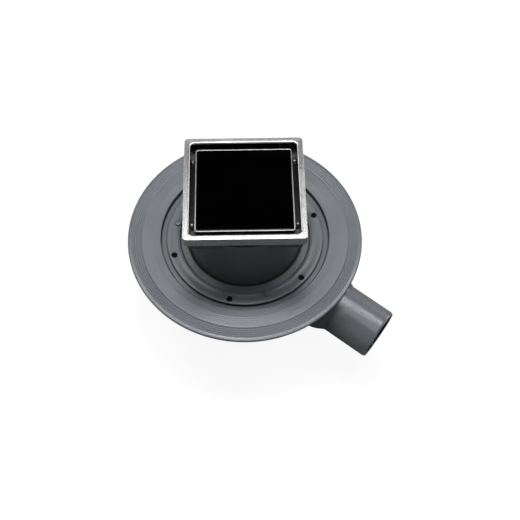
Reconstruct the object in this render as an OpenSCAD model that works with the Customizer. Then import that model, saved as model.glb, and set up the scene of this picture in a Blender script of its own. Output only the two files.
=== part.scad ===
// Shower gully with a side outlet: a two-part plastic body with a ribbed
// membrane flange, a bolted clamp ring, a sliding riser and a square
// stainless frame that holds a lift-out tray with a black glass plate.
// Z = 0 is the flat underside of the trap bowl, on the axis of the riser.
// The square frame lies along X and Y. Millimetres.

/* [Flange] */
// Diameter of the ribbed membrane flange
flange_d = 230; // [226:1:240]
// Height of the flange's top face over the underside of the bowl
flange_z = 95; // [95:0.5:110]
// Depth of the recess that takes the clamp ring
recess_depth = 4.5; // [4.2:0.1:4.8]
// Radius of the recess wall
recess_r = 82.5; // [81.5:0.5:83.5]

/* [Clamp ring] */
// Outer radius of the clamp ring
clamp_r = 77; // [76.5:0.25:78]
// Circle that the clamp screws stand on, as a diameter
screw_pcd = 144; // [143:0.5:145]
// Number of clamp screws
screw_count = 6; // [4, 6, 8]
// Direction of the first clamp screw, in degrees from X
screw_start = 17.5; // [0:0.5:59]

/* [Riser] */
// Outer diameter of the riser tube
riser_d = 110; // [110:0.1:110.4]
// Wall of the riser tube
riser_wall = 3; // [2.8:0.1:3.2]
// Length of the riser tube
riser_len = 87.9; // [60:0.1:88.2]

/* [Frame and tray] */
// Side of the square stainless frame
frame_side = 110; // [108:0.5:116]
// Clear opening inside the frame
frame_open = 99; // [98:0.5:100]
// Height of the frame's outer skirt
frame_h = 10.5; // [10:0.1:12]
// Corner radius of the frame's outside
frame_corner = 3.5; // [2:0.5:5]
// Side of the lift-out tray
tray_side = 89.5; // [86:0.5:90]
// How far the tray's edge lies below the frame's top
tray_sink = 3.3; // [2.9:0.1:3.5]
// Thickness of the stainless sheet
sheet = 1.2; // [1:0.1:1.3]

/* [Outlet] */
// Outer diameter of the outlet spigot
outlet_d = 50; // [50:0.1:50.4]
// Wall of the outlet spigot
outlet_wall = 2; // [1.8:0.1:2.4]
// Direction of the outlet, in degrees from X
outlet_az = -37.2; // [-45:0.05:-30]
// Distance of the spigot's end from the riser's axis
outlet_reach = 159.6; // [150:0.1:175]
// Depth of the spigot's end centre below the flange's top
outlet_drop = 32.1; // [32:0.1:35]
// Fall of the spigot, in degrees
outlet_fall = 4.4; // [4:0.02:5.6]
// Outer radius of the rounded outlet chamber
chamber_r = 31.3; // [30.5:0.1:32]
// Distance of the rounded chamber's centre from the riser's axis
chamber_at = 95.7; // [93:0.1:97]

/* [Trap] */
// Outer radius of the trap bowl
bowl_r = 66.5; // [66.5:0.1:67.5]
// Wall of the trap bowl
bowl_wall = 3; // [2.5:0.1:3]
// Height of the dip tube's lower end over the bowl's underside
dip_z = 12; // [9:0.5:15]
// Number of holes in the outer row of the hair strainer
strainer_holes = 20; // [12:1:22]

/* [Hidden] */
$fn = 96;

F = flange_z;                       // top face of the flange
FR = flange_d / 2;                  // edge of the flange
floor_z = F - recess_depth;         // floor of the clamp ring's recess
under_in = floor_z - 3;             // underside below the recess
under_out = F - 3.3;                // underside of the ribbed plate
neck_z = F - 19;                    // lower face of the seal housing
seat_z = F - 47;                    // ledge that carries the trap insert
riser_r = riser_d / 2;
bore_r = riser_r - riser_wall;      // inside of the riser
riser_bottom = F - 21;
riser_top = riser_bottom + riser_len;
plate_z = riser_top + 0.3;          // underside of the neck adapter's plate
plate_h = 3.8;
gasket_h = 0.5;
frame_z = plate_z + plate_h + gasket_h; // underside of the steel frame
frame_top = frame_z + frame_h;
tray_top = frame_top - tray_sink;
ledge_z = frame_z + sheet;
tray_z = ledge_z + 0.8;             // underside of the tray, on its pads
screw_r = screw_pcd / 2;
peg_at = 47.2;                      // frame screws, across
peg_y = 34.5;                       // frame screws, along
out_r = outlet_d / 2;
out_end = [outlet_reach * cos(outlet_az), outlet_reach * sin(outlet_az), F - outlet_drop];
chamber_back = (outlet_reach - chamber_at) / cos(outlet_fall);

plastic = [0.42, 0.44, 0.46];
dark_plastic = [0.33, 0.35, 0.37];
rubber = [0.06, 0.06, 0.06];
steel = [0.76, 0.76, 0.75];

// points on an arc, in the half plane of a turned profile
function arc(cx, cy, r, a0, a1, n) =
    [for (i = [0:n]) [cx + r * cos(a0 + (a1 - a0) * i / n), cy + r * sin(a0 + (a1 - a0) * i / n)]];

// four points of one raised rib whose crest is at radius c
function rib(c, w, low, high) = [[c - w, low], [c - w * 0.4, high], [c + w * 0.4, high], [c + w, low]];

// square with true round corners
module rounded_square(half, rc) {
    square([2 * half, 2 * (half - rc)], center = true);
    square([2 * (half - rc), 2 * half], center = true);
    for (x = [-1, 1], y = [-1, 1]) translate([x * (half - rc), y * (half - rc)]) circle(r = rc);
}

// flat square ring
module square_ring(h, half_out, rc_out, half_in, rc_in) {
    linear_extrude(h) difference() {
        rounded_square(half_out, rc_out);
        rounded_square(half_in, rc_in);
    }
}

// places its children on the clamp screw circle
module at_screws() {
    for (i = [0:screw_count - 1]) rotate([0, 0, screw_start + i * 360 / screw_count]) translate([screw_r, 0, 0]) children();
}

// places its children on the four sides of the frame
module at_sides() {
    for (a = [0:90:270]) rotate([0, 0, a]) children();
}

// outlet axis: origin at the spigot's end, local -Z runs outwards
module at_outlet() {
    translate(out_end) rotate([0, outlet_fall, outlet_az]) rotate([0, -90, 0]) children();
}

// ---------------------------------------------------------------- trap bowl
module bowl_outside() {
    rotate_extrude() polygon(concat([[0, 0]], arc(bowl_r - 7, 7, 7, -90, 0, 6), [[bowl_r, neck_z], [0, neck_z]]));
    rotate_extrude() polygon([[bowl_r - 1, neck_z - 9], [bowl_r, neck_z - 9], [bowl_r + 2, neck_z - 6], [bowl_r + 2, neck_z], [bowl_r - 1, neck_z]]);
    at_outlet() rotate_extrude() polygon(concat(
        [[0, 0], [out_r - 0.9, 0], [out_r, 2.5], [out_r, chamber_back - sqrt(chamber_r * chamber_r - out_r * out_r)]],
        arc(0, chamber_back, chamber_r, -asin(sqrt(1 - pow(out_r / chamber_r, 2))) + 3, 0, 8),
        [[chamber_r, chamber_back + 46], [0, chamber_back + 46]]));
}

module bowl_inside() {
    ri = bowl_r - bowl_wall;
    rotate_extrude() polygon(concat([[0, bowl_wall]], arc(ri - 5, bowl_wall + 5, 5, -90, 0, 5), [[ri, neck_z + 1], [0, neck_z + 1]]));
    at_outlet() translate([0, 0, -1]) cylinder(r = out_r - outlet_wall, h = chamber_back + 1);
    at_outlet() rotate_extrude() polygon(concat(
        [[0, chamber_back - chamber_r + bowl_wall]],
        arc(0, chamber_back, chamber_r - bowl_wall, -82, 0, 10),
        [[chamber_r - bowl_wall, chamber_back + 46], [0, chamber_back + 46]]));
}

module trap_bowl() {
    color(plastic) difference() {
        bowl_outside();
        bowl_inside();
        // the flange part closes the bowl and its chamber from above
        translate([0, 0, neck_z]) cylinder(r = bowl_r, h = 60);
        translate([0, 0, under_in]) cylinder(r = 88.8, h = 60);
        translate([0, 0, under_out]) cylinder(r = FR, h = 60);
    }
}

// -------------------------------------------------------------- flange part
module flange_profile() {
    // ribbed plate
    polygon(concat(
        [[recess_r, under_in], [88, under_in], [88.6, under_out], [FR - 1.3, under_out]],
        arc(FR - 1.4, under_out + 1.4, 1.4, -75, 0, 3),
        arc(FR - 1.6, F - 1.6, 1.6, 0, 90, 4),
        [[FR - 3.6, F], [FR - 4.3, F - 0.75]],
        [for (c = [108.6, 106.2, 103.8]) for (p = rib(c, -0.85, F - 0.6, F)) p],
        [[102.3, F - 0.35], [101.7, F - 0.35], [101.5, F - 0.9], [101.1, F - 0.9], [100.9, F - 0.5]],
        [for (c = [99.9, 98.1, 96.3, 94.5, 92.7, 90.9, 89.1]) for (p = rib(c, -0.72, F - 0.55, F)) p],
        [[87.9, F - 0.35], [recess_r + 2.3, F - 0.35]],
        arc(recess_r + 1.8, F - 2.1, 1.8, 90, 180, 4)
    ));
    // plate under the clamp ring, stepped round the seal retainer
    translate([63.6, under_in]) square([recess_r - 62.6, floor_z - under_in]);
    // seal housing
    translate([63.6, neck_z]) square([2.9, floor_z - neck_z]);
    translate([61, neck_z]) square([3, 10]);
    translate([riser_r + 0.5, neck_z]) square([7, 3]);
    // throat that guides the riser
    translate([riser_r + 0.5, seat_z - 4]) square([3, neck_z - seat_z + 5]);
    // ledge under the trap insert
    translate([46, seat_z - 4]) square([12, 4]);
    // spigot ring glued inside the bowl's rim
    translate([60.9, neck_z - 6]) square([2.5, 7]);
}

module flange_body() {
    color(plastic) difference() {
        union() {
            rotate_extrude() flange_profile();
            // screw bosses and their webs
            at_screws() translate([0, 0, neck_z + 1]) cylinder(r = 4.4, h = under_in - neck_z);
            at_screws() translate([-6.5, -1.25, neck_z + 1]) cube([4, 2.5, under_in - neck_z]);
            // stiffening ribs under the plate, away from the outlet
            for (i = [0:13]) let (a = outlet_az + 47.5 + i * 265 / 13)
                rotate([0, 0, a]) translate([0, 1, 0]) rotate([90, 0, 0])
                    linear_extrude(2) polygon([[66, neck_z + 1.5], [88, under_in - 6], [109, under_out - 0.8],
                                               [109, under_out + 0.5], [88, under_out + 0.5], [88, under_in + 0.5], [66, under_in + 0.5]]);
        }
        at_screws() translate([0, 0, neck_z + 2.5]) cylinder(r = 1.95, h = 30);
    }
}

// --------------------------------------------------------------- clamp ring
module clamp_gasket() {
    color(rubber) difference() {
        rotate_extrude() translate([65, floor_z]) square([clamp_r - 65.7, 0.8]);
        at_screws() translate([0, 0, floor_z - 1]) cylinder(r = 2.3, h = 3);
    }
}

module clamp_ring() {
    z = floor_z + 0.8;
    color(plastic) difference() {
        union() {
            rotate_extrude() polygon([[64.2, z], [64.2, F - 2.3], [65.1, F - 1.5], [67.2, F - 1],
                                      [73.4, F - 1], [75.7, F - 1.5], [clamp_r - 0.3, F - 2.4], [clamp_r, F - 2.8], [clamp_r, z]]);
            at_screws() translate([0, 0, z + 0.5]) cylinder(r = 4.1, h = F - 0.9 - z - 0.5);
            // locating pips between the screws
            for (i = [0:2]) rotate([0, 0, screw_start + 30 + i * 120]) translate([67.6, 0, F - 2]) {
                cylinder(r = 3.1, h = 1.5);
                translate([0, 0, 1.5]) cylinder(r1 = 3.1, r2 = 2.5, h = 0.6);
            }
        }
        at_screws() {
            translate([0, 0, z - 1]) cylinder(r = 2.1, h = 6);
            translate([0, 0, z + 0.7]) cylinder(r1 = 2.1, r2 = 2.95, h = 1.1);
            translate([0, 0, z + 1.79]) cylinder(r = 2.95, h = 3);
            translate([0, 0, F - 1.5]) cylinder(r1 = 2.95, r2 = 3.75, h = 0.61);
        }
    }
}

module clamp_screws() {
    z = floor_z + 0.8;
    color([0.05, 0.05, 0.05]) at_screws() difference() {
        union() {
            translate([0, 0, neck_z + 4]) cylinder(r = 1.9, h = z + 0.8 - neck_z - 4);
            translate([0, 0, z + 0.75]) cylinder(r1 = 1.95, r2 = 2.75, h = 1.05);
            translate([0, 0, z + 1.8]) cylinder(r = 2.75, h = 0.4);
        }
        translate([0, 0, z + 1]) cylinder(r = 1.45, h = 3, $fn = 6);
    }
}

// --------------------------------------------------------------- riser seal
module lip_seal() {
    r = riser_r;
    color(rubber) rotate_extrude() polygon([
        [61, neck_z + 3], [61, neck_z + 9.9], [r + 1.7, neck_z + 9.9], [r + 1.4, F - 4],
        [r + 0.6, F - 3.7], [r + 0.06, F - 4.4], [r + 0.5, F - 7.5], [r + 0.5, F - 10.5],
        [r + 0.06, F - 11.2], [r + 0.06, F - 11.8], [r + 0.5, F - 12.5], [r + 0.5, neck_z + 3]]);
}

module seal_retainer() {
    color(plastic) rotate_extrude() polygon([
        [riser_r + 1.9, neck_z + 10], [63.4, neck_z + 10], [63.4, F - 4.2], [62.7, F - 3.5],
        [riser_r + 2.8, F - 3.5], [riser_r + 1.9, F - 4.3]]);
}

// -------------------------------------------------------------- trap insert
module dip_tube() {
    s = seat_z;
    color(dark_plastic) difference() {
        union() {
            rotate_extrude() polygon([
                [34, dip_z], [36, dip_z], [36, s - 6], [41, s - 4], [45.7, s - 4], [45.7, s - 3.2], [43.4, s - 3.2],
                [43.4, s - 0.7], [45.7, s - 0.7], [45.7, s], [54.8, s], [54.8, s + 3], [50.5, s + 3], [50.5, s + 1.5],
                [48.8, s + 1.5], [34, s - 2]]);
            // bar to lift the insert by
            translate([-34.5, -2, s - 12]) cube([69, 4, 8]);
        }
        // finger room over the middle of the bar
        translate([0, 0, s - 3]) rotate([90, 0, 0]) cylinder(r = 5.5, h = 10, center = true);
    }
}

module trap_oring() {
    color(rubber) rotate_extrude() translate([44.7, seat_z - 1.95]) circle(r = 1.22, $fn = 48);
}

module hair_strainer() {
    s = seat_z + 1.5;
    color(steel) difference() {
        union() {
            translate([0, 0, s]) cylinder(r = 50.2, h = 1.6);
            translate([0, 0, s + 1]) cylinder(r = 5, h = 9);
            translate([0, 0, s + 10]) cylinder(r1 = 9, r2 = 10, h = 2);
            translate([0, 0, s + 12]) cylinder(r = 10, h = 2.5);
        }
        for (i = [0:strainer_holes - 1]) rotate([0, 0, i * 360 / strainer_holes]) translate([43, 0, s - 1]) cylinder(r = 3, h = 4);
        for (i = [0:15]) rotate([0, 0, 9 + i * 22.5]) translate([34, 0, s - 1]) cylinder(r = 3, h = 4);
        for (i = [0:11]) rotate([0, 0, i * 30]) translate([25, 0, s - 1]) cylinder(r = 3, h = 4);
        for (i = [0:7]) rotate([0, 0, 11 + i * 45]) translate([16, 0, s - 1]) cylinder(r = 3, h = 4);
    }
}

// -------------------------------------------------------------------- riser
module riser_tube() {
    color(plastic) rotate_extrude() polygon([
        [bore_r, riser_bottom], [riser_r - 1.6, riser_bottom], [riser_r, riser_bottom + 4],
        [riser_r, riser_top - 0.5], [riser_r - 0.5, riser_top], [bore_r, riser_top]]);
}

// ------------------------------------------------------------- neck adapter
module neck_adapter() {
    z = plate_z;
    half = frame_side / 2 - 3;
    r = bore_r - 0.4;
    color(dark_plastic) difference() {
        union() {
            translate([0, 0, z]) linear_extrude(plate_h) rounded_square(half, 3);
            // deep corners, outside the riser
            difference() {
                translate([0, 0, z - 5.7]) linear_extrude(6) rounded_square(half, 3);
                translate([0, 0, z - 6]) cylinder(r = riser_r + 0.8, h = 6.1);
            }
            rotate_extrude() polygon([
                [bore_r - 5, z - 24], [r - 1, z - 24], [r, z - 22], [r, z - 17.6], [r - 2.6, z - 17.6],
                [r - 2.6, z - 14.4], [r, z - 14.4], [r, z + 1], [bore_r - 5, z + 1]]);
        }
        translate([0, 0, z - 30]) cylinder(r = bore_r - 4.4, h = 60);
        // sunk corners lead the water to the round throat
        translate([0, 0, z + plate_h - 1.6]) linear_extrude(3) difference() {
            rounded_square(48.3, 4);
            for (a = [0, 90]) rotate(a) square([120, 2 * peg_y + 6], center = true);
        }
        at_sides() for (y = [-1, 1]) translate([peg_at, y * peg_y, z + 0.8]) cylinder(r = 1.25, h = 10, $fn = 32);
    }
}

module adapter_oring() {
    color(rubber) rotate_extrude() translate([bore_r - 1.5, plate_z - 16]) circle(r = 1.46, $fn = 48);
}

// -------------------------------------------------------- frame and its bits
// strip on each side, shared by the gasket and the ledges of the frame
module side_strip(h, out, inn, along) {
    at_sides() translate([inn, -along, 0]) cube([out - inn, 2 * along, h]);
}

module frame_gasket() {
    z = plate_z + plate_h;
    o = frame_open / 2 + sheet;
    color(rubber) translate([0, 0, z]) difference() {
        union() {
            square_ring(gasket_h, o, 5, 48.4, 4);
            side_strip(gasket_h, 49, bore_r - 4.4, peg_y + 2.5);
        }
        translate([0, 0, -1]) cylinder(r = bore_r - 4.3, h = 5);
        at_sides() for (y = [-1, 1]) translate([peg_at, y * peg_y, -1]) cylinder(r = 1.35, h = 5, $fn = 32);
    }
}

module steel_frame() {
    half = frame_side / 2;
    open = frame_open / 2;
    color(steel) translate([0, 0, frame_z]) difference() {
        union() {
            // outer skirt, inner wall and the flat rim that joins them
            square_ring(frame_h - 0.6, half, frame_corner, half - sheet, frame_corner - sheet);
            square_ring(frame_h - 0.6, open + sheet, 5.6, open, 4.4);
            translate([0, 0, frame_h - sheet]) square_ring(sheet - 0.6, half, frame_corner, open, 4.4);
            translate([0, 0, frame_h - 0.61]) square_ring(0.31, half - 0.3, frame_corner - 0.3, open + 0.35, 4.75);
            translate([0, 0, frame_h - 0.31]) square_ring(0.31, half - 0.8, frame_corner - 0.8, open + 1, 5.4);
            // ledges that carry the tray
            side_strip(sheet, open + 0.2, 41.5, peg_y + 2.5);
        }
        at_sides() for (y = [-1, 1]) translate([peg_at, y * peg_y, -1]) cylinder(r = 1.35, h = 5, $fn = 32);
    }
}

module frame_screws() {
    color(steel) at_sides() for (y = [-1, 1]) translate([peg_at, y * peg_y, 0]) {
        translate([0, 0, plate_z + 1.4]) cylinder(r = 1.2, h = ledge_z + 0.1 - plate_z - 1.4, $fn = 32);
        translate([0, 0, ledge_z]) cylinder(r = 2.1, h = 1.5, $fn = 48);
        translate([0, 0, ledge_z + 1.5]) cylinder(r1 = 2.1, r2 = 1.3, h = 0.6, $fn = 48);
    }
}

module cover_tray() {
    half = tray_side / 2;
    h = tray_top - tray_z;
    color(steel) translate([0, 0, tray_z]) difference() {
        union() {
            linear_extrude(h - 0.3) rounded_square(half, 2.6);
            translate([0, 0, h - 0.31]) linear_extrude(0.31) rounded_square(half - 0.25, 2.35);
        }
        translate([0, 0, 0.8]) linear_extrude(h) rounded_square(half - sheet, 1.4);
    }
}

module tray_pads() {
    color(rubber) at_sides() translate([41.7, -10, ledge_z]) cube([2.8, 20, 0.8]);
}

module glass_bedding() {
    color([0.1, 0.1, 0.1]) translate([0, 0, tray_z + 0.8]) linear_extrude(0.4) rounded_square(tray_side / 2 - sheet - 1.5, 1);
}

module glass_plate() {
    z = tray_z + 1.2;
    half = tray_side / 2 - sheet - 0.15;
    color([0.02, 0.02, 0.025]) {
        translate([0, 0, z]) linear_extrude(tray_top - 0.4 - z) rounded_square(half, 1.25);
        translate([0, 0, tray_top - 0.41]) linear_extrude(0.31) rounded_square(half - 0.3, 1);
    }
}

trap_bowl();
flange_body();
clamp_gasket();
clamp_ring();
clamp_screws();
lip_seal();
seal_retainer();
dip_tube();
trap_oring();
hair_strainer();
riser_tube();
neck_adapter();
adapter_oring();
frame_gasket();
steel_frame();
frame_screws();
cover_tray();
tray_pads();
glass_bedding();
glass_plate();
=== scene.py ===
import math

import bpy
import bmesh
from mathutils import Matrix, Vector


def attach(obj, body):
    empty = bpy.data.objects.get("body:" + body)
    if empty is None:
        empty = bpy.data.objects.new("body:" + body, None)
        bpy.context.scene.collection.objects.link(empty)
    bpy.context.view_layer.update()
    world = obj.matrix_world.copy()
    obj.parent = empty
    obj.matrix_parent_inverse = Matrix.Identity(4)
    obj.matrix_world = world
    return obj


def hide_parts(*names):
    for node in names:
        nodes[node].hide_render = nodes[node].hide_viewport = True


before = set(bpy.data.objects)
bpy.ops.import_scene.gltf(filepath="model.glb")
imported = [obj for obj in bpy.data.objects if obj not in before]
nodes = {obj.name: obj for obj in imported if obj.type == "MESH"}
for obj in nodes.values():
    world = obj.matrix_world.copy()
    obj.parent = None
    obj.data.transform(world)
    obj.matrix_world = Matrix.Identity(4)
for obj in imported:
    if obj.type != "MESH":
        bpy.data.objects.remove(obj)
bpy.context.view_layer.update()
MM = 0.001

# Heights and radii of the CAD model, in millimetres
F = 95.0                    # top of the flange
FLOOR_Z = F - 4.5           # floor of the clamp ring's recess
UNDER_IN = FLOOR_Z - 3
UNDER_OUT = F - 3.3
NECK_Z = F - 19
SEAT_Z = F - 47
RISER_TOP = 161.9
FRAME_Z = 166.5
TOP = 177.0
TRAY_Z = 168.5
TRAY_TOP = 173.7
SCREW_R = 72.0
SCREW_A = [17.5 + 60 * k for k in range(6)]
OUT_AZ, OUT_FALL, OUT_REACH = -37.2, 4.4, 159.6
OUT_END = Vector((OUT_REACH * math.cos(math.radians(OUT_AZ)), OUT_REACH * math.sin(math.radians(OUT_AZ)), F - 32.1))
CH_R = 31.3
CH_BACK = (OUT_REACH - 95.7) / math.cos(math.radians(OUT_FALL)) + 2


# ------------------------------------------------------------------ meshes
def fillet(points):
    """A closed outline of (x, y) or (x, y, radius, steps): each corner with a radius becomes an arc."""
    out, m = [], len(points)
    for i in range(m):
        p = points[i]
        x, y = p[0], p[1]
        r = p[2] if len(p) > 2 else 0.0
        n = p[3] if len(p) > 3 else 4
        if r <= 0:
            out.append((x, y))
            continue
        a, b = points[i - 1], points[(i + 1) % m]
        v1, v2 = Vector((a[0] - x, a[1] - y)), Vector((b[0] - x, b[1] - y))
        l1, l2 = v1.length, v2.length
        v1.normalize()
        v2.normalize()
        half = v1.angle(v2) / 2
        if half > math.radians(88.5):
            out.append((x, y))
            continue
        t = min(r / math.tan(half), 0.49 * l1, 0.49 * l2)
        rr = t * math.tan(half)
        c = Vector((x, y)) + (v1 + v2).normalized() * (rr / math.sin(half))
        s, e = Vector((x, y)) + v1 * t - c, Vector((x, y)) + v2 * t - c
        a0, a1 = math.atan2(s.y, s.x), math.atan2(e.y, e.x)
        d = (a1 - a0 + math.pi) % (2 * math.pi) - math.pi
        for k in range(n + 1):
            t2 = a0 + d * k / n
            out.append((c.x + rr * math.cos(t2), c.y + rr * math.sin(t2)))
    return out


def arc(cx, cy, r, a0, a1, n):
    return [(cx + r * math.cos(math.radians(a0 + (a1 - a0) * i / n)), cy + r * math.sin(math.radians(a0 + (a1 - a0) * i / n))) for i in range(n + 1)]


def make(name, verts, faces, angle=32):
    me = bpy.data.meshes.new(name)
    me.from_pydata([tuple(c * MM for c in v) for v in verts], [], faces)
    bm = bmesh.new()
    bm.from_mesh(me)
    bmesh.ops.recalc_face_normals(bm, faces=bm.faces)
    bm.to_mesh(me)
    bm.free()
    ob = bpy.data.objects.new(name, me)
    bpy.context.scene.collection.objects.link(ob)
    smooth(ob, angle)
    return ob


def smooth(ob, angle=32):
    ob.data.shade_smooth()
    ob.data.set_sharp_from_angle(angle=math.radians(angle))


def weighted(ob):
    m = ob.modifiers.new("weights", "WEIGHTED_NORMAL")
    m.mode = "FACE_AREA"
    m.weight = 50
    m.keep_sharp = True
    return ob


def lathe_data(prof, seg, start=0.0):
    verts, faces, rings = [], [], []
    for r, z in prof:
        if r < 1e-6:
            rings.append([len(verts)])
            verts.append((0.0, 0.0, z))
        else:
            b = len(verts)
            for k in range(seg):
                a = 2 * math.pi * k / seg + start
                verts.append((r * math.cos(a), r * math.sin(a), z))
            rings.append(list(range(b, b + seg)))
    m = len(prof)
    for i in range(m):
        a, b = rings[i], rings[(i + 1) % m]
        if len(a) == 1 and len(b) == 1:
            continue
        for k in range(seg):
            j = (k + 1) % seg
            if len(a) == 1:
                faces.append((a[0], b[j], b[k]))
            elif len(b) == 1:
                faces.append((a[k], a[j], b[0]))
            else:
                faces.append((a[k], a[j], b[j], b[k]))
    return verts, faces


def lathe(name, prof, seg=192, start=0.0, angle=32):
    v, f = lathe_data(prof, seg, start)
    return make(name, v, f, angle)


def place(ob, matrix):
    """Moves the mesh itself, so the object stays at the origin."""
    ob.data.transform(matrix)
    return ob


def shift(x, y, z):
    return Matrix.Translation(Vector((x, y, z)) * MM)


def turn(angle, axis="Z"):
    return Matrix.Rotation(math.radians(angle), 4, axis)


# the outlet's own frame: origin at the spigot's end, local +Z inwards along the pipe
AT_OUTLET = shift(*OUT_END) @ Matrix.Rotation(math.radians(OUT_AZ), 4, "Z") @ Matrix.Rotation(math.radians(OUT_FALL), 4, "Y") @ Matrix.Rotation(math.radians(-90), 4, "Y")


def square_ring(half, rc, z, nc=8, ns=8):
    """The points of one level of a square with round corners."""
    pts = []
    for i in range(4):
        a0 = math.radians(90 * i)
        cx = (half - rc) * (1 if i in (0, 3) else -1)
        cy = (half - rc) * (1 if i in (0, 1) else -1)
        for k in range(nc + 1):
            a = a0 + math.radians(90) * k / nc
            pts.append((cx + rc * math.cos(a), cy + rc * math.sin(a), z))
        # along the straight side to the next corner
        nx = (half - rc) * (1 if (i + 1) % 4 in (0, 3) else -1)
        ny = (half - rc) * (1 if (i + 1) % 4 in (0, 1) else -1)
        a = a0 + math.radians(90)
        p, q = (cx + rc * math.cos(a), cy + rc * math.sin(a)), (nx + rc * math.cos(a), ny + rc * math.sin(a))
        for k in range(1, ns):
            t = k / ns
            pts.append((p[0] + (q[0] - p[0]) * t, p[1] + (q[1] - p[1]) * t, z))
    return pts


def square_sweep(name, levels, closed=True, nc=8, ns=8, angle=32):
    """levels: (half side, corner radius, height). closed joins the last level to the first; otherwise both ends are capped."""
    verts, faces, m = [], [], len(levels)
    for half, rc, z in levels:
        ring = square_ring(half, max(rc, 0.02), z, nc, ns)
        n = len(ring)
        verts += ring
    for i in range(m if closed else m - 1):
        a, b = i * n, ((i + 1) % m) * n
        for k in range(n):
            j = (k + 1) % n
            faces.append((a + k, a + j, b + j, b + k))
    if not closed:
        faces.append(tuple(range(n)))
        faces.append(tuple(range((m - 1) * n, m * n)))
    return make(name, verts, faces, angle)


def prism(name, outline, z0, z1, angle=32):
    n = len(outline)
    verts = [(x, y, z0) for x, y in outline] + [(x, y, z1) for x, y in outline]
    faces = [tuple(range(n)), tuple(range(n, 2 * n))] + [(k, (k + 1) % n, n + (k + 1) % n, n + k) for k in range(n)]
    return make(name, verts, faces, angle)


def box(name, lo, hi):
    x0, y0, z0 = lo
    x1, y1, z1 = hi
    return prism(name, [(x0, y0), (x1, y0), (x1, y1), (x0, y1)], z0, z1)


def joined(name, parts, angle=32):
    """One object that holds several closed meshes that don't touch."""
    bm = bmesh.new()
    for p in parts:
        bm.from_mesh(p.data)
    me = bpy.data.meshes.new(name)
    bm.to_mesh(me)
    bm.free()
    for p in parts:
        old = p.data
        bpy.data.objects.remove(p)
        bpy.data.meshes.remove(old)
    ob = bpy.data.objects.new(name, me)
    bpy.context.scene.collection.objects.link(ob)
    smooth(ob, angle)
    return ob


def cut(ob, tools, operation="DIFFERENCE", solver="MANIFOLD", angle=32):
    """Applies boolean steps and removes the tools."""
    for t in tools:
        mod = ob.modifiers.new("cut", "BOOLEAN")
        mod.operation, mod.object, mod.solver = operation, t, solver
    dg = bpy.context.evaluated_depsgraph_get()
    me = bpy.data.meshes.new_from_object(ob.evaluated_get(dg), depsgraph=dg)
    ob.modifiers.clear()
    old, name = ob.data, ob.data.name
    ob.data = me
    bpy.data.meshes.remove(old)
    me.name = name
    for t in tools:
        old = t.data
        bpy.data.objects.remove(t)
        bpy.data.meshes.remove(old)
    if open_edges(ob):
        raise RuntimeError(name + " isn't closed after a cut")
    smooth(ob, angle)
    return ob


def open_edges(ob):
    bm = bmesh.new()
    bm.from_mesh(ob.data)
    n = sum(1 for e in bm.edges if not e.is_manifold)
    bm.free()
    return n


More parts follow.
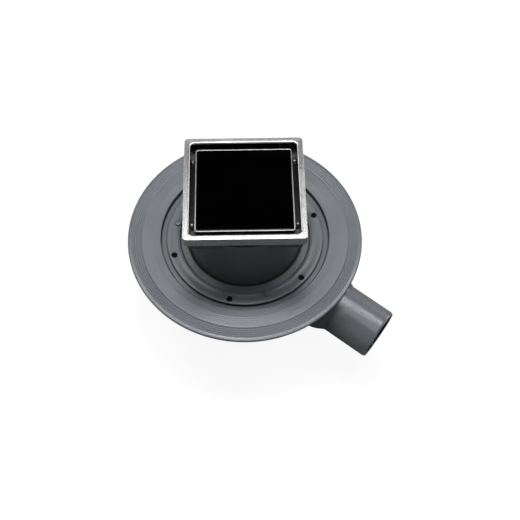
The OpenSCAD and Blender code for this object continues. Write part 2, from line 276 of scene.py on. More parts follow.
# --------------------------------------------------------------- materials
class Nodes:
    """Short ways to build a node material."""

    def __init__(self, name):
        self.mat = bpy.data.materials.new(name)
        self.mat.use_nodes = True
        self.nt = self.mat.node_tree
        self.bsdf = self.nt.nodes["Principled BSDF"]
        self.coord = self.nt.nodes.new("ShaderNodeTexCoord").outputs["Object"]
        self.sep = None

    def link(self, a, b):
        self.nt.links.new(a, b)

    def put(self, socket, value):
        if hasattr(value, "is_linked") or hasattr(value, "links"):
            self.link(value, socket)
        else:
            socket.default_value = value

    def math(self, op, a, b=None, c=None, clamp=False):
        n = self.nt.nodes.new("ShaderNodeMath")
        n.operation, n.use_clamp = op, clamp
        for i, v in enumerate((a, b, c)):
            if v is not None:
                self.put(n.inputs[i], v)
        return n.outputs[0]

    def vector(self, op, a, b=None):
        n = self.nt.nodes.new("ShaderNodeVectorMath")
        n.operation = op
        for i, v in enumerate((a, b)):
            if v is not None:
                self.put(n.inputs[i], v)
        return n.outputs["Value" if op in ("DOT_PRODUCT", "LENGTH") else "Vector"]

    def xyz(self):
        if self.sep is None:
            self.sep = self.nt.nodes.new("ShaderNodeSeparateXYZ")
            self.link(self.coord, self.sep.inputs[0])
        return self.sep.outputs

    def join(self, x, y, z):
        n = self.nt.nodes.new("ShaderNodeCombineXYZ")
        for s, v in zip(n.inputs, (x, y, z)):
            self.put(s, v)
        return n.outputs[0]

    def scaled(self, x, y, z, vector=None):
        n = self.nt.nodes.new("ShaderNodeMapping")
        self.link(vector or self.coord, n.inputs["Vector"])
        n.inputs["Scale"].default_value = (x, y, z)
        return n.outputs[0]

    def noise(self, scale, detail=3, rough=0.55, vector=None, distortion=0.0):
        n = self.nt.nodes.new("ShaderNodeTexNoise")
        self.link(vector or self.coord, n.inputs["Vector"])
        n.inputs["Scale"].default_value = scale
        n.inputs["Detail"].default_value = detail
        n.inputs["Roughness"].default_value = rough
        n.inputs["Distortion"].default_value = distortion
        return n.outputs["Fac"]

    def voronoi(self, scale, feature="F1", vector=None):
        n = self.nt.nodes.new("ShaderNodeTexVoronoi")
        n.feature = feature
        self.link(vector or self.coord, n.inputs["Vector"])
        n.inputs["Scale"].default_value = scale
        return n.outputs["Distance"]

    def ramp(self, value, low, high, to_low=0.0, to_high=1.0):
        n = self.nt.nodes.new("ShaderNodeMapRange")
        n.clamp = True
        self.put(n.inputs["Value"], value)
        for s, v in (("From Min", low), ("From Max", high), ("To Min", to_low), ("To Max", to_high)):
            n.inputs[s].default_value = v
        return n.outputs["Result"]

    def mix(self, fac, a, b):
        n = self.nt.nodes.new("ShaderNodeMix")
        n.data_type = "RGBA"
        self.put(n.inputs[0], fac)
        for s, v in ((n.inputs[6], a), (n.inputs[7], b)):
            if hasattr(v, "links"):
                self.link(v, s)
            else:
                s.default_value = (*v, 1.0) if len(v) == 3 else v
        return n.outputs[2]

    def bump(self, height, distance, strength=1.0, normal=None):
        n = self.nt.nodes.new("ShaderNodeBump")
        n.inputs["Strength"].default_value = strength
        n.inputs["Distance"].default_value = distance
        self.link(height, n.inputs["Height"])
        if normal is not None:
            self.link(normal, n.inputs["Normal"])
        return n.outputs["Normal"]

    def radius(self):
        """Distance from the riser's axis."""
        x, y, _ = self.xyz()
        return self.math("SQRT", self.math("ADD", self.math("MULTIPLY", x, x), self.math("MULTIPLY", y, y)))

    def angle(self):
        x, y, _ = self.xyz()
        return self.math("ARCTAN2", y, x)

    def done(self, **k):
        for name, v in k.items():
            self.put(self.bsdf.inputs[name.replace("_", " ")], v)
        return self.mat


def plastic(name, base, light, dark, rough=0.44, grain=1.0, turned=True, recess=None, foot=None, lip=None, pipe=None):
    """Moulded polypropylene: mottled colour, an eroded-steel grain and faint rings from the turned mould."""
    n = Nodes(name)
    cloud = n.noise(22, 3, 0.55)
    fine = n.noise(260, 2, 0.6)
    flow = n.noise(9, 4, 0.6, n.scaled(1, 1, 2.2), 1.3)
    tone = n.ramp(n.math("ADD", n.math("MULTIPLY", cloud, 0.6), n.math("MULTIPLY", flow, 0.4)), 0.36, 0.64)
    col = n.mix(tone, dark, light)
    col = n.mix(n.ramp(fine, 0.42, 0.7, 0.0, 0.35), col, base)
    speck = n.ramp(n.voronoi(900), 0.0, 0.16, 0.16, 0.0)
    col = n.mix(speck, col, tuple(min(1, c * 1.6) for c in base))
    scuff = n.ramp(n.noise(34, 5, 0.7, n.scaled(1, 1, 1)), 0.58, 0.74, 0.0, 0.14)
    col = n.mix(scuff, col, tuple(min(1, c * 1.22) for c in light))
    if recess:
        # painted shade: inside the recess radius the colour is darker than the ribbed face
        col = n.mix(n.ramp(n.radius(), recess - 0.0004, recess + 0.0004, 1.0, 0.0), col, tuple(c * 0.78 for c in base))
        # painted shadow in its corner and under the ring's edge, near black
        _, _, z = n.xyz()
        corner = n.math("MULTIPLY", n.ramp(n.radius(), recess - 0.0008, recess - 0.0002), n.ramp(z, 0.0925, 0.0938, 1.0, 0.0))
        under = n.ramp(n.radius(), 0.0776, 0.0781, 1.0, 0.0)
        col = n.mix(n.math("MULTIPLY", n.math("MAXIMUM", corner, under), n.ramp(z, 0.0935, 0.0942, 0.92, 0.0)), col, (0.012, 0.012, 0.013))
    if lip:
        # painted shade in the grooves between the outer ribs
        _, _, z = n.xyz()
        grooves = n.math("MULTIPLY", n.ramp(n.radius(), lip - 0.0098, lip - 0.0094), n.ramp(n.radius(), lip - 0.0010, lip - 0.0006, 1.0, 0.0))
        low = n.math("MULTIPLY", grooves, n.ramp(z, F * MM - 0.00026, F * MM - 0.00014, 0.3, 0.0))
        col = n.mix(low, col, tuple(c * 0.3 for c in base))
    if pipe:
        # painted shade inside the outlet, its bore near black: pipe = (end, direction inwards, radius)
        off = n.vector("SUBTRACT", n.coord, pipe[0])
        deep = n.vector("DOT_PRODUCT", off, pipe[1])
        apart = n.vector("LENGTH", n.vector("CROSS_PRODUCT", off, pipe[1]))
        inner = n.math("MULTIPLY", n.ramp(apart, pipe[2], pipe[2] + 0.0003, 1.0, 0.0), n.math("GREATER_THAN", deep, 0.0008))
        inner = n.math("MULTIPLY", inner, n.math("LESS_THAN", deep, 0.062))
        col = n.mix(inner, col, (0.006, 0.006, 0.0065))
        # painted shade from the flange on the pipe's near side, where it meets the chamber; the same mask also makes it
        # rougher
        across = n.vector("DOT_PRODUCT", off, pipe[3])
        corner = n.math("MULTIPLY", n.ramp(across, 0.006, 0.010), n.ramp(deep, 0.038, 0.044, 0.0, 0.85))
        side = n.math("MULTIPLY", n.ramp(across, 0.0125, 0.0165), n.ramp(deep, 0.024, 0.046, 0.0, 0.75))
        root_shade_mask = n.math("MULTIPLY", n.math("MAXIMUM", corner, side), n.ramp(deep, 0.068, 0.086, 1.0, 0.0))
        col = n.mix(root_shade_mask, col, tuple(c * 0.2 for c in base))
    if foot:
        # foot = (radius, height): painted shadow, near black, outside that radius and below that height
        _, _, z = n.xyz()
        col = n.mix(n.math("MULTIPLY", n.ramp(n.radius(), foot[0], foot[0] + 0.0005), n.ramp(z, foot[1] - 0.0003, foot[1] + 0.0003, 0.9, 0.0)), col, (0.008, 0.008, 0.009))
    rough_v = n.math("ADD", n.ramp(cloud, 0.3, 0.7, rough - 0.05, rough + 0.06), n.math("MULTIPLY", scuff, 0.5), clamp=True)
    if pipe:
        rough_v = n.math("ADD", rough_v, n.math("MULTIPLY", root_shade_mask, 0.3), clamp=True)
    if lip:
        # the rim outside that radius is polished by handling
        rough_v = n.math("SUBTRACT", rough_v, n.ramp(n.radius(), lip, lip + 0.0006, 0.0, 0.09))
    g1 = n.noise(2100, 2, 0.5)
    normal = n.bump(g1, 0.00005 * grain, 0.8)
    if turned:
        rings = n.math("SINE", n.math("MULTIPLY", n.radius(), 9500.0))
        soft = n.math("MULTIPLY", rings, n.ramp(n.noise(14, 2, 0.5), 0.35, 0.7, 0.15, 1.0))
        normal = n.bump(soft, 0.0000035, 1.0, normal)
    normal = n.bump(n.noise(46, 2, 0.5), 0.00012, 0.55, normal)
    return n.done(Base_Color=col, Roughness=rough_v, Normal=normal, IOR=1.5)


def extruded(name, base, light, dark, rough=0.4):
    """Pipe wall: lines along Z from the extruder, scuffed at the outside."""
    n = Nodes(name)
    a = n.angle()
    _, _, z = n.xyz()
    line = n.noise(1.0, 4, 0.6, n.join(n.math("MULTIPLY", a, 42.0), n.math("MULTIPLY", z, 9.0), 0.0))
    cloud = n.noise(18, 3, 0.55)
    col = n.mix(n.ramp(n.math("ADD", n.math("MULTIPLY", line, 0.5), n.math("MULTIPLY", cloud, 0.5)), 0.36, 0.64), dark, light)
    scratch = n.ramp(n.noise(1.0, 2, 0.4, n.join(n.math("MULTIPLY", a, 9.0), n.math("MULTIPLY", z, 1500.0), 1.7)), 0.66, 0.74, 0.0, 0.22)
    col = n.mix(scratch, col, tuple(min(1, c * 1.7) for c in base))
    # painted shade: darker towards the bottom, near the seal
    col = n.mix(n.ramp(z, 0.090, 0.128, 0.55, 0.0), col, tuple(c * 0.3 for c in base))
    rough_v = n.math("ADD", n.ramp(line, 0.3, 0.7, rough - 0.05, rough + 0.06), n.math("MULTIPLY", scratch, 0.35), clamp=True)
    normal = n.bump(line, 0.00003, 0.7)
    normal = n.bump(n.noise(1900, 2, 0.5), 0.000035, 0.6, normal)
    return n.done(Base_Color=col, Roughness=rough_v, Normal=normal, IOR=1.5)


def rubber(name, base=(0.012, 0.012, 0.0125)):
    n = Nodes(name)
    cloud = n.noise(90, 3, 0.6)
    col = n.mix(n.ramp(cloud, 0.35, 0.7), base, tuple(c * 2.3 for c in base))
    bloom = n.ramp(n.noise(240, 4, 0.7), 0.6, 0.8, 0.0, 0.35)
    col = n.mix(bloom, col, (0.06, 0.06, 0.06))
    normal = n.bump(n.noise(2600, 2, 0.5), 0.00005, 0.8)
    return n.done(Base_Color=col, Roughness=n.ramp(cloud, 0.3, 0.7, 0.55, 0.74), Normal=normal, IOR=1.52)


def brushed(name, base, rough=0.3, inside=None, across=2600.0, along=26.0, depth=0.0000006, waves=0.000003):
    """Brushed stainless sheet: hair-fine lines along each side of the square, mitred at the corners.
    inside = (half side, height, floor): within that square and below that height the sheet is smooth, and its colour is
    painted shade, near black on the walls and dark on the ledges;
    its third number is the height of the ledge's top."""
    n = Nodes(name)
    x, y, z = n.xyz()
    ax, ay = n.math("ABSOLUTE", x), n.math("ABSOLUTE", y)
    side = n.ramp(n.math("SUBTRACT", ax, ay), -0.0035, 0.0035)
    front = n.math("SUBTRACT", 1.0, side)
    along_x = n.join(n.math("MULTIPLY", x, along), n.math("MULTIPLY", y, across), n.math("MULTIPLY", z, across))
    along_y = n.join(n.math("MULTIPLY", x, across), n.math("MULTIPLY", y, along), n.math("MULTIPLY", z, across))
    line = n.math("ADD", n.math("MULTIPLY", n.noise(1.0, 3, 0.6, along_y), side), n.math("MULTIPLY", n.noise(1.0, 3, 0.6, along_x), front))
    cloud = n.noise(30, 3, 0.55)
    smear = n.ramp(n.noise(16, 4, 0.65, None, 0.8), 0.5, 0.72, 0.0, 1.0)
    col = n.mix(n.ramp(line, 0.3, 0.7), tuple(c * 0.95 for c in base), tuple(min(1, c * 1.02) for c in base))
    col = n.mix(n.math("MULTIPLY", smear, 0.10), col, tuple(c * 0.75 for c in base))
    scratch = n.ramp(n.noise(1.0, 2, 0.4, n.join(n.math("MULTIPLY", x, 120.0), n.math("MULTIPLY", y, 900.0), n.math("MULTIPLY", z, 300.0))), 0.7, 0.78, 0.0, 0.1)
    col = n.mix(scratch, col, (0.95, 0.95, 0.95))
    rough_v = n.math("ADD", n.ramp(line, 0.3, 0.7, rough - 0.02, rough + 0.04), n.math("MULTIPLY", smear, 0.03), clamp=True)
    grain = line
    if inside:
        # painted shade: within the square and below the height, walls and ledges are coloured dark
        low = n.ramp(z, inside[1] - 0.0007, inside[1], 1.0, 0.0)
        within = n.math("LESS_THAN", n.math("MAXIMUM", ax, ay), inside[0])
        bare_and_shaded = n.math("MULTIPLY", low, within)
        stain = n.ramp(n.noise(120, 4, 0.65), 0.42, 0.7)
        floor_part = n.ramp(z, inside[2], inside[2] + 0.0003, 1.0, 0.0)
        wall_col = n.mix(stain, tuple(c * 0.08 for c in base), tuple(c * 0.05 for c in base))
        floor_col = n.mix(stain, tuple(c * 0.24 for c in base), tuple(c * 0.17 for c in base))
        col = n.mix(bare_and_shaded, col, n.mix(floor_part, wall_col, floor_col))
        # painted shade: the skirt outside is darker than the rim
        skirt = n.math("MULTIPLY", n.ramp(z, inside[1] + 0.0003, inside[1] + 0.0009, 1.0, 0.0), n.math("SUBTRACT", 1.0, within))
        col = n.mix(n.math("MULTIPLY", skirt, 0.5), col, tuple(c * 0.55 for c in base))
        smooth_v = n.math("ADD", n.ramp(stain, 0.0, 1.0, 0.09, 0.13), n.math("MULTIPLY", floor_part, 0.05))
        rough_v = n.math("ADD", n.math("MULTIPLY", rough_v, n.math("SUBTRACT", 1.0, bare_and_shaded)), n.math("MULTIPLY", smooth_v, bare_and_shaded))
        grain = n.math("MULTIPLY", line, n.ramp(bare_and_shaded, 0.0, 1.0, 1.0, 0.12))
    normal = n.bump(grain, depth, 1.0)
    normal = n.bump(cloud, waves, 0.3, normal)
    # the lines spread a highlight across themselves: the tangent is square to the lines and to the normal
    lines = n.nt.nodes.new("ShaderNodeVectorTransform")
    lines.vector_type, lines.convert_from, lines.convert_to = "VECTOR", "OBJECT", "WORLD"
    n.link(n.join(front, n.math("MULTIPLY", n.math("MULTIPLY", side, -1.0), n.math("SIGN", n.math("MULTIPLY", x, y))), 0.0), lines.inputs[0])
    geo = n.nt.nodes.new("ShaderNodeNewGeometry")
    cross = n.nt.nodes.new("ShaderNodeVectorMath")
    cross.operation = "CROSS_PRODUCT"
    n.link(geo.outputs["Normal"], cross.inputs[0])
    n.link(lines.outputs[0], cross.inputs[1])
    n.link(cross.outputs[0], n.bsdf.inputs["Tangent"])
    return n.done(Base_Color=col, Roughness=rough_v, Metallic=1.0, Normal=normal, Anisotropic=0.2)


def turned_steel(name, base=(0.6, 0.6, 0.59), rough=0.24, pitch=5200.0):
    """Bright steel with fine marks and light stains."""
    n = Nodes(name)
    fine = n.noise(700, 3, 0.6)
    cloud = n.noise(60, 3, 0.6)
    col = n.mix(n.ramp(cloud, 0.35, 0.7), tuple(c * 0.82 for c in base), tuple(min(1, c * 1.08) for c in base))
    rings = n.math("SINE", n.math("MULTIPLY", n.radius(), pitch))
    normal = n.bump(n.math("ADD", n.math("MULTIPLY", rings, 0.25), fine), 0.000008, 0.8)
    return n.done(Base_Color=col, Roughness=n.ramp(fine, 0.3, 0.7, rough - 0.05, rough + 0.1), Metallic=1.0, Normal=normal)


def black_glass():
    """Back-painted black glass: polished, with the faintest smears and a few grains of dust."""
    n = Nodes("black_glass")
    smear = n.noise(13, 5, 0.6, n.scaled(1, 2.1, 1), 1.6)
    fine = n.noise(420, 2, 0.5)
    root_shade_mask = n.ramp(n.voronoi(520), 0.0, 0.05, 0.6, 0.0)
    keep = n.ramp(n.noise(70, 2, 0.5), 0.62, 0.7, 0.0, 1.0)
    root_shade_mask = n.math("MULTIPLY", root_shade_mask, keep)
    col = n.mix(n.ramp(smear, 0.42, 0.75), (0.0003, 0.0003, 0.0005), (0.0008, 0.0008, 0.0012))
    col = n.mix(n.math("MULTIPLY", root_shade_mask, 0.25), col, (0.12, 0.12, 0.12))
    rough_v = n.math("ADD", n.ramp(smear, 0.35, 0.75, 0.015, 0.05), n.math("MULTIPLY", n.ramp(fine, 0.5, 0.8), 0.015))
    normal = n.bump(n.noise(7, 1, 0.5), 0.00004, 0.35)
    return n.done(Base_Color=col, Roughness=rough_v, Normal=normal, IOR=1.5)


def black_screw():
    n = Nodes("black_screw")
    cloud = n.noise(500, 3, 0.6)
    col = n.mix(n.ramp(cloud, 0.35, 0.7), (0.002, 0.002, 0.0025), (0.006, 0.006, 0.0065))
    return n.done(Base_Color=col, Roughness=n.ramp(cloud, 0.3, 0.7, 0.6, 0.76), Normal=n.bump(n.noise(2400, 2, 0.5), 0.00003, 0.6), Specular_IOR_Level=0.08)


GREY = (0.160, 0.172, 0.190)
GREY_L = (0.176, 0.188, 0.206)
GREY_D = (0.145, 0.156, 0.173)
M = {
    "flange": plastic("grey_flange", (0.121, 0.133, 0.151), (0.134, 0.147, 0.166), (0.110, 0.121, 0.138), rough=0.40, recess=0.0828, lip=0.1111),
    "bowl": plastic("grey_bowl", tuple(c * 0.8 for c in GREY), tuple(c * 0.8 for c in GREY_L), tuple(c * 0.8 for c in GREY_D), rough=0.25, grain=0.35, turned=False,
                    pipe=(tuple(OUT_END * MM), tuple(AT_OUTLET.to_3x3() @ Vector((0, 0, 1))), 0.0234, (-0.605, -0.797, 0.0))),
    "ring": plastic("grey_ring", (0.105, 0.114, 0.129), (0.115, 0.125, 0.141), (0.095, 0.104, 0.119), rough=0.37, foot=(0.0764, 0.0928)),
    "riser": extruded("grey_riser", (0.060, 0.061, 0.064), (0.069, 0.070, 0.073), (0.052, 0.053, 0.056)),
    "adapter": plastic("dark_plastic", (0.034, 0.034, 0.035), (0.040, 0.040, 0.041), (0.028, 0.028, 0.029), rough=0.46),
    "rubber": rubber("black_rubber"),
    "bedding": rubber("glass_bedding", (0.02, 0.02, 0.02)),
    # the frame's slot walls and ledges carry painted shade
    "steel": brushed("brushed_frame", (0.48, 0.48, 0.477), rough=0.26, inside=(0.0508, 0.1757, 0.1679)),
    # the tray's walls below its top edge carry painted shade, near black
    "tray": brushed("brushed_tray", (0.29, 0.29, 0.287), rough=0.31, inside=(0.1, 0.17345, 0.1), depth=0.000001, waves=0.000002),
    "bright": turned_steel("bright_steel"),
    "peg": turned_steel("peg_steel", (0.42, 0.42, 0.415), rough=0.36, pitch=9000.0),
    "screw": black_screw(),
    "glass": black_glass(),
}


def dress(ob, key, body=None, replaces=()):
    ob.data.materials.clear()
    ob.data.materials.append(M[key])
    if body:
        weighted(ob)
        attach(ob, body)
    if replaces:
        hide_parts(*replaces)
    return ob


# -------------------------------------------------------------- flange body
def rib(c, w, low, high):
    """Round-crested rib, outer foot first."""
    return [(c + w * t, low + (high - low) * (0.5 + 0.5 * math.cos(math.pi * t))) for t in (1, 0.72, 0.46, 0.22, 0, -0.22, -0.46, -0.72, -1)]


# The turned outline is closed, going round once
TURNED = (
    fillet([
        (58.0, SEAT_Z, 0.0), (46.0, SEAT_Z, 0.5), (46.0, SEAT_Z - 4, 0.5), (59.0, SEAT_Z - 4, 0.8), (59.0, NECK_Z, 0.8),
        (60.9, NECK_Z, 0.0), (60.9, NECK_Z - 6, 0.4), (63.4, NECK_Z - 6, 0.4), (63.4, NECK_Z, 0.0), (66.5, NECK_Z, 0.5),
        (66.5, UNDER_IN, 1.2), (88.0, UNDER_IN, 0.4), (88.6, UNDER_OUT, 0.4), (113.7, UNDER_OUT, 0.0)])
    + arc(113.6, UNDER_OUT + 1.3, 1.4, -70, 0, 6)
    + [(115.0, F - 1.55), (114.95, F - 1.15), (114.78, F - 0.8), (114.45, F - 0.52), (114.0, F - 0.36), (113.4, F - 0.27), (112.7, F - 0.19), (112.0, F - 0.11), (111.4, F - 0.04)]
    + [(111.1, F - 0.06), (110.8, F - 0.25), (110.5, F - 0.35)]
    + [q for c in (109.3, 107.2, 105.1, 103.0) for q in rib(c, 1.03, F - 0.32, F - 0.05)]
    + [(101.7, F - 0.45), (101.4, F - 0.45), (101.2, F - 0.2), (101.0, F - 0.1)]
    + [q for c in (98.6, 96.6, 94.6, 92.6, 90.6) for q in rib(c, 0.85, F - 0.11, F - 0.055)]
    + [(89.6, F - 0.14), (89.2, F - 0.17), (88.6, F - 0.2), (87.2, F - 0.26), (85.4, F - 0.345), (84.7, F - 0.37), (84.1, F - 0.38)]
    + arc(83.35, F - 1.24, 0.85, 75, 180, 7)
    + [(82.5, FLOOR_Z - 1.9), (81.4, FLOOR_Z - 1.9), (81.4, FLOOR_Z - 0.15), (81.2, FLOOR_Z)]
    + [(63.6, FLOOR_Z), (63.6, NECK_Z + 10), (61.0, NECK_Z + 10), (61.0, NECK_Z + 3)]
    + arc(56.3, NECK_Z + 2.2, 0.8, 90, 180, 5) + [(55.5, SEAT_Z)]
)


def build_flange():
    ob = lathe("flange_moulding", TURNED, 256, angle=36)
    extra = []
    for a in SCREW_A:
        boss = lathe("boss", fillet([(0, NECK_Z + 1), (4.4, NECK_Z + 1, 0.6), (4.4, UNDER_IN + 1), (0, UNDER_IN + 1)]), 40)
        extra.append(place(boss, turn(a) @ shift(SCREW_R, 0, 0)))
        extra.append(place(box("web", (-6.6, -1.25, NECK_Z + 1), (-2.5, 1.25, UNDER_IN + 1)), turn(a) @ shift(SCREW_R, 0, 0)))
    for i in range(14):
        a = OUT_AZ + 47.5 + i * 265 / 13
        out = [(65.5, NECK_Z + 1.5), (66.5, NECK_Z + 1.5), (88, UNDER_IN - 6), (109, UNDER_OUT - 0.8), (109, UNDER_OUT + 0.5), (88.2, UNDER_OUT + 0.5), (88, UNDER_IN + 0.5), (65.5, UNDER_IN + 0.5)]
        r = prism("stiffener", out, -1, 1)
        place(r, turn(a) @ Matrix.Rotation(math.radians(90), 4, "X"))
        extra.append(r)
    cut(ob, extra, "UNION", angle=36)
    holes = [place(lathe("hole", [(0, NECK_Z + 2.5), (1.95, NECK_Z + 2.5), (1.95, F), (0, F)], 32), turn(a) @ shift(SCREW_R, 0, 0)) for a in SCREW_A]
    cut(ob, holes, angle=36)
    return ob


flange = dress(build_flange(), "flange", "drain", ["flange_body"])


# --------------------------------------------------------------- clamp ring
def build_ring():
    z = FLOOR_Z + 0.8
    prof = fillet([
        (64.6, z, 0.2), (64.1, z + 0.7, 0.2), (64.1, F - 1.75, 0.15), (64.35, F - 1.3, 0.15), (64.75, F - 1.15, 0.15), (65.15, F - 1.4, 0.1), (65.6, F - 1.35, 0.1),
        (66.1, F - 1.02, 0.3), (67.0, F - 1.08, 0.6), (68.4, F - 1.3, 1.5), (70.4, F - 1.32, 1.5), (73.6, F - 1.0, 1.6), (75.5, F - 1.0, 0.6), (76.5, F - 1.2, 0.35),
        (76.85, F - 1.75, 0.2), (76.85, F - 2.7, 0.1), (76.4, z + 0.5, 0.2), (75.2, z, 0.2)])
    ob = lathe("clamping_ring", prof, 240)
    add = []
    for a in SCREW_A:
        halo = lathe("halo", fillet([(0, z + 0.6), (4.1, z + 0.6), (4.1, F - 1.12, 0.3), (0, F - 1.12)]), 56)
        add.append(place(halo, turn(a) @ shift(SCREW_R, 0, 0)))
    for i in range(3):
        pip = lathe("pip", fillet([(0, F - 2), (3.0, F - 2), (3.0, F + 0.1, 0.4), (0, F + 0.1)]), 48)
        add.append(place(pip, turn(47.5 + 120 * i) @ shift(67.6, 0, 0)))
    cut(ob, [place(lathe("moat", fillet([(0, F - 1.7), (3.75, F - 1.7), (3.75, F + 1), (0, F + 1)]), 48), turn(47.5 + 120 * i) @ shift(67.6, 0, 0)) for i in range(3)])
    cut(ob, add, "UNION")
    holes = []
    for a in SCREW_A:
        tool = lathe("hole", [(0, z - 1), (2.1, z - 1), (2.1, z + 0.7), (2.95, z + 1.8), (2.95, F - 1.5), (3.15, F - 1.25), (3.5, F - 1.1), (3.6, F + 1), (0, F + 1)], 56)
        holes.append(place(tool, turn(a) @ shift(SCREW_R, 0, 0)))
    return cut(ob, holes)


ring = dress(build_ring(), "ring", "drain", ["clamp_ring"])


def build_clamp_screws():
    z = FLOOR_Z + 0.8
    parts = []
    for i, a in enumerate(SCREW_A):
        s = lathe("s", fillet([(0, NECK_Z + 4), (1.3, NECK_Z + 4), (1.9, NECK_Z + 5), (1.9, z + 0.8), (2.75, z + 1.8, 0.2), (2.75, z + 2.2, 0.25), (0, z + 2.2)]), 48)
        hexa = lathe("h", [(0, z + 1.0), (1.45, z + 1.0), (1.45, z + 3), (0, z + 3)], 6, start=0.3 * i)
        cut(s, [hexa])
        parts.append(place(s, turn(a) @ shift(SCREW_R, 0, 0)))
    return joined("clamping_screws", parts)


dress(build_clamp_screws(), "screw", "drain", ["clamp_screws"])

# ------------------------------------------------------------- riser and seal
retainer = lathe("retaining_ring", fillet([
    (56.8, NECK_Z + 10, 0.2), (63.4, NECK_Z + 10, 0.2), (63.4, F - 3.5, 0.2), (62.9, F - 2.9, 0.25), (62.2, F - 2.7, 0.2), (57.1, F - 2.7, 0.25), (56.6, F - 3.2, 0.2)]), 240)
dress(retainer, "ring", "drain", ["seal_retainer"])

seal = lathe("lip_seal_ring", fillet([
    (61, NECK_Z + 3, 0.2), (61, NECK_Z + 9.9, 0.2), (56.7, NECK_Z + 9.9, 0.3), (56.4, F - 4, 0.3), (55.6, F - 3.7, 0.2), (55.06, F - 4.4, 0.2),
    (55.5, F - 7.5, 0.4), (55.5, F - 10.5, 0.4), (55.06, F - 11.2, 0.15), (55.06, F - 11.8, 0.15), (55.5, F - 12.5, 0.3), (55.5, NECK_Z + 3, 0.3)]), 240)
dress(seal, "rubber", "drain", ["lip_seal"])

riser = lathe("riser_pipe", fillet([
    (52, 74, 0.3), (53.4, 74, 0.4), (55, 78, 0.8), (55, RISER_TOP, 0.6), (52, RISER_TOP, 0.4)]), 256)
dress(riser, "riser", "riser", ["riser_tube"])


# ------------------------------------------------------------------- bowl
def build_bowl():
    outside = lathe("trap_body", fillet([
        (0, 0), (66.5, 0, 7, 10), (66.5, NECK_Z - 9.5, 0.6), (68.5, NECK_Z - 6, 0.6), (68.5, NECK_Z, 0.3), (0, NECK_Z)]), 192)
    root = CH_BACK - math.sqrt(CH_R ** 2 - 25 ** 2)
    start = -math.degrees(math.asin(math.sqrt(1 - (25 / CH_R) ** 2)))
    prof = ([(0, 0), (23.9, 0), (24.4, 0.7), (25, 2.5), (25, root - 1.5)]
            + [(25.12, root - 0.75), (25.4, root - 0.1), (25.85, root + 0.5)]
            + arc(0, CH_BACK, CH_R, start + 5, 0, 20)
            + [(CH_R, CH_BACK + 46), (0, CH_BACK + 46)])
    branch = place(lathe("branch", prof, 160), AT_OUTLET)
    cut(outside, [branch], "UNION")
    inner = lathe("inner", fillet([(0, 3), (63.5, 3, 5, 8), (63.5, NECK_Z + 1), (0, NECK_Z + 1)]), 192)
    bore = place(lathe("bore", [(0, -1), (23, -1), (23, CH_BACK), (0, CH_BACK)], 128), AT_OUTLET)
    room = place(lathe("room", [(0, CH_BACK - 28.3)] + arc(0, CH_BACK, 28.3, -86, 0, 20) + [(28.3, CH_BACK + 46), (0, CH_BACK + 46)], 128), AT_OUTLET)
    cut(outside, [inner])
    cut(outside, [bore])
    cut(outside, [room])
    # the flange moulding closes the bowl and its chamber from above
    cut(outside, [lathe("lid1", [(0, NECK_Z), (66.55, NECK_Z), (66.55, F + 40), (0, F + 40)], 192),])
    cut(outside, [lathe("lid2", [(0, UNDER_IN), (88.8, UNDER_IN), (88.8, F + 40), (0, F + 40)], 192)])
    cut(outside, [lathe("lid3", [(0, UNDER_OUT), (116, UNDER_OUT), (116, F + 40), (0, F + 40)], 192)])
    return outside


dress(build_bowl(), "bowl", "drain", ["trap_bowl"])


# ------------------------------------------------------------------- frame
def build_frame():
    """Deep-drawn sheet frame: outer skirt, flat rim, rounded inner lip, inner wall and four bent-in ledges."""
    H, I = 55.0, 49.5
    sec = fillet([
        (H, FRAME_Z, 0.15, 2), (H, TOP, 0.5, 5), (I, TOP, 1.55, 8), (I, FRAME_Z, 0.15, 2), (I + 1.2, FRAME_Z, 0.1, 2),
        (I + 1.2, TOP - 1.2, 0.5, 3), (H - 1.2, TOP - 1.2, 0.3, 3), (H - 1.2, FRAME_Z, 0.1, 2)])

    def rc(u):
        return 3.5 + (H - u) * (4.4 - 3.5) / (H - I) if u > 52 else 4.4 + (u - I) * 1.0

    levels = [(u, rc(u), z) for u, z in sec]
    ob = square_sweep("frame_shell", levels, nc=10, ns=10)
    ledges = []
    for a in range(0, 360, 90):
        led = prism("ledge", fillet([(41.5, FRAME_Z, 0.2), (49.75, FRAME_Z), (49.75, FRAME_Z + 1.2), (41.5, FRAME_Z + 1.2, 0.4)]), -37, 37)
        # the outline lies in X and Z
        place(led, turn(a) @ Matrix.Rotation(math.radians(90), 4, "X"))
        ledges.append(led)
    cut(ob, ledges, "UNION")
    holes = []
    for a in range(0, 360, 90):
        for y in (-34.5, 34.5):
            holes.append(place(lathe("hole", [(0, FRAME_Z - 1), (1.35, FRAME_Z - 1), (1.35, FRAME_Z + 3), (0, FRAME_Z + 3)], 24), turn(a) @ shift(47.2, y, 0)))
    return cut(ob, holes)


dress(build_frame(), "steel", "grate", ["steel_frame"])


def build_frame_screws():
    ledge = FRAME_Z + 1.2
    parts, i = [], 0
    for a in range(0, 360, 90):
        for y in (-34.5, 34.5):
            s = lathe("s", fillet([(0, 163.6), (0.9, 163.6), (1.2, 164.2), (1.2, ledge), (2.1, ledge, 0.12, 2), (2.1, ledge + 0.9, 0.7, 5), (1.1, ledge + 2.05, 1.2, 4), (0, ledge + 2.1)]), 40)
            c1 = box("c", (-1.25, -0.28, ledge + 0.9), (1.25, 0.28, ledge + 4))
            c2 = box("c", (-0.28, -1.25, ledge + 0.9), (0.28, 1.25, ledge + 4))
            cut(s, [c1])
            cut(s, [c2])
            parts.append(place(s, turn(a) @ shift(47.2, y, 0) @ turn(23 + 51 * i)))
            i += 1
    return joined("frame_screw_set", parts)


dress(build_frame_screws(), "peg", "grate", ["frame_screws"])


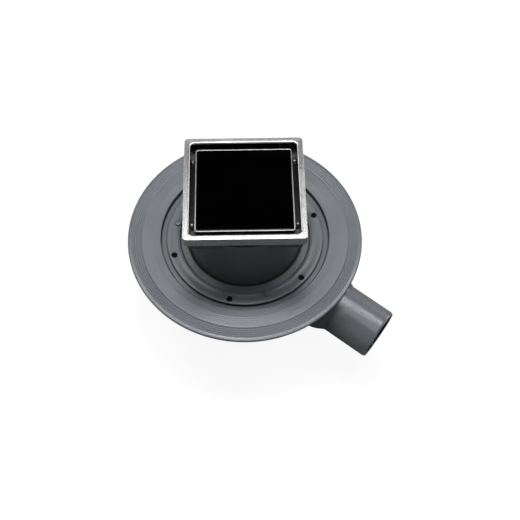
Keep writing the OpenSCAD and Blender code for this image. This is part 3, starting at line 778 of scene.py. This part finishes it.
# -------------------------------------------------------------------- tray
def build_tray():
    h, t = 44.75, 1.2
    levels = [(h - 0.6, 2.0, TRAY_Z), (h - 0.15, 2.45, TRAY_Z + 0.15), (h, 2.6, TRAY_Z + 0.6)]
    levels += [(h, 2.6, TRAY_TOP - 0.4)]
    levels += [(h - 0.4 + 0.4 * math.cos(math.radians(a)), 2.2 + 0.4 * math.cos(math.radians(a)), TRAY_TOP - 0.4 + 0.4 * math.sin(math.radians(a))) for a in (22, 45, 68, 90)]
    levels += [(h - t + 0.2, 1.6, TRAY_TOP), (h - t + 0.06, 1.46, TRAY_TOP - 0.06), (h - t, 1.4, TRAY_TOP - 0.2), (h - t, 1.4, TRAY_Z + 1.0), (h - t - 0.2, 1.2, TRAY_Z + 0.8)]
    return square_sweep("tray_shell", levels, closed=False, nc=8, ns=8)


dress(build_tray(), "tray", "grate", ["cover_tray"])


def build_glass():
    h = 44.75 - 1.2 - 0.15
    z0, z1 = TRAY_Z + 1.2, TRAY_TOP - 0.1
    levels = [(h - 0.2, 1.05, z0), (h, 1.25, z0 + 0.2), (h, 1.25, z1 - 0.42)]
    levels += [(h - 0.42 + 0.42 * math.cos(math.radians(a)), 0.83 + 0.42 * math.cos(math.radians(a)), z1 - 0.42 + 0.42 * math.sin(math.radians(a))) for a in (18, 36, 54, 72, 90)]
    return square_sweep("glass_panel", levels, closed=False, nc=8, ns=8)


dress(build_glass(), "glass", "grate", ["glass_plate"])

# --------------------------------------------------- CAD nodes shown as they are
for node, key in (("clamp_gasket", "rubber"), ("dip_tube", "adapter"), ("trap_oring", "rubber"), ("hair_strainer", "bright"),
                  ("neck_adapter", "adapter"), ("adapter_oring", "rubber"), ("frame_gasket", "rubber"), ("tray_pads", "rubber"),
                  ("glass_bedding", "bedding")):
    ob = nodes[node]
    ob.data.materials.clear()
    ob.data.materials.append(M[key])


# -------------------------------------------------------------- floor, light
def stage_material():
    """Pale floor. The camera sees it nearly white, as round the photo's object; what it gives back to the object is less."""
    n = Nodes("studio_floor")
    col = n.mix(n.ramp(n.noise(3.0, 3, 0.5), 0.3, 0.7), (0.90, 0.90, 0.90), (0.93, 0.93, 0.93))
    n.done(Base_Color=n.mix(0.86, col, (0, 0, 0)), Roughness=0.8, Emission_Color=col, Emission_Strength=0.98)
    dull = n.nt.nodes.new("ShaderNodeBsdfDiffuse")
    dull.inputs["Color"].default_value = (0.22, 0.22, 0.22, 1.0)
    path = n.nt.nodes.new("ShaderNodeLightPath")
    seen = n.nt.nodes.new("ShaderNodeMixShader")
    n.link(path.outputs["Is Camera Ray"], seen.inputs[0])
    n.link(dull.outputs[0], seen.inputs[1])
    n.link(n.bsdf.outputs[0], seen.inputs[2])
    # seen from below, the floor is clear, so the underside can be looked at
    geo = n.nt.nodes.new("ShaderNodeNewGeometry")
    clear = n.nt.nodes.new("ShaderNodeBsdfTransparent")
    mix = n.nt.nodes.new("ShaderNodeMixShader")
    out = n.nt.nodes["Material Output"]
    n.link(geo.outputs["Backfacing"], mix.inputs[0])
    n.link(seen.outputs[0], mix.inputs[1])
    n.link(clear.outputs[0], mix.inputs[2])
    n.link(mix.outputs[0], out.inputs["Surface"])
    return n.mat


me = bpy.data.meshes.new("floor")
me.from_pydata([(-30, -30, 0), (30, -30, 0), (30, 30, 0), (-30, 30, 0)], [], [(0, 1, 2, 3)])
floor = bpy.data.objects.new("floor", me)
floor.location = (0, 0, -0.0002)
me.materials.append(stage_material())
bpy.context.scene.collection.objects.link(floor)


def softbox(name, direction, distance, size, watts, size_y=None, colour=(1, 1, 1)):
    d = Vector(direction).normalized()
    light = bpy.data.lights.new(name, "AREA")
    light.energy, light.size, light.color = watts, size, colour
    if size_y:
        light.shape, light.size_y = "RECTANGLE", size_y
    else:
        light.shape = "DISK"
    ob = bpy.data.objects.new(name, light)
    ob.location = Vector((0, 0, 0.1)) + d * distance
    ob.rotation_mode = "QUATERNION"
    ob.rotation_quaternion = (-d).to_track_quat("-Z", "Y")
    bpy.context.scene.collection.objects.link(ob)
    return ob


softbox("top", (0.0, 0.25, 0.968), 2.4, 0.85, 28)
softbox("left", (-0.36, 0.27, 0.89), 2.4, 0.7, 13)
softbox("right", (0.39, 0.27, 0.88), 2.4, 0.7, 13.5)
softbox("front", (0.02, -0.28, 0.96), 2.4, 1.1, 7)
# low fill for the sides and the back
softbox("low_right", (0.80, 0.55, 0.20), 2.6, 1.3, 13)
softbox("low_left", (-0.80, 0.55, 0.20), 2.6, 1.3, 13)
softbox("low_front", (0.45, -0.88, 0.16), 2.6, 1.3, 3.5)

world = bpy.data.worlds.new("studio")
bpy.context.scene.world = world
world.use_nodes = True
wn = world.node_tree
tc = wn.nodes.new("ShaderNodeTexCoord")
sx = wn.nodes.new("ShaderNodeSeparateXYZ")
wn.links.new(tc.outputs["Generated"], sx.inputs[0])
cr = wn.nodes.new("ShaderNodeValToRGB")
wn.links.new(sx.outputs["Z"], cr.inputs["Fac"])
cr.color_ramp.elements[0].color = (0.30, 0.30, 0.30, 1.0)
cr.color_ramp.elements[1].color = (0.006, 0.006, 0.006, 1.0)
for at, v in ((0.12, 0.36), (0.42, 0.34), (0.62, 0.08), (0.74, 0.006)):
    cr.color_ramp.elements.new(at).color = (v, v, v, 1.0)
# low views look past the floor's edge, where the backdrop is as pale as the floor
lp = wn.nodes.new("ShaderNodeLightPath")
pale = wn.nodes.new("ShaderNodeMix")
pale.data_type = "RGBA"
wn.links.new(lp.outputs["Is Camera Ray"], pale.inputs[0])
wn.links.new(cr.outputs["Color"], pale.inputs[6])
pale.inputs[7].default_value = (0.92, 0.92, 0.92, 1.0)
bg = wn.nodes["Background"]
wn.links.new(pale.outputs[2], bg.inputs["Color"])
bg.inputs["Strength"].default_value = 1.0

# -------------------------------------------------------------------- camera
cam_data = bpy.data.cameras.new("camera")
cam_data.lens, cam_data.sensor_width = 60.33, 36.0
cam_data.clip_start, cam_data.clip_end = 0.02, 100
cam = bpy.data.objects.new("camera", cam_data)
bpy.context.scene.collection.objects.link(cam)
right = Vector((0.99971431, -0.02271393, 0.007393))
up = Vector((0.01612806, 0.87015198, 0.492519))
back = Vector((-0.0176202, -0.49225975, 0.87027))
rot = Matrix((right, up, back)).transposed()
cam.matrix_world = Matrix.Translation((-0.000767, -0.444117, 0.828)) @ rot.to_4x4()
bpy.context.scene.camera = cam
bpy.context.scene.view_settings.view_transform = "Standard"

bpy.context.view_layer.update()
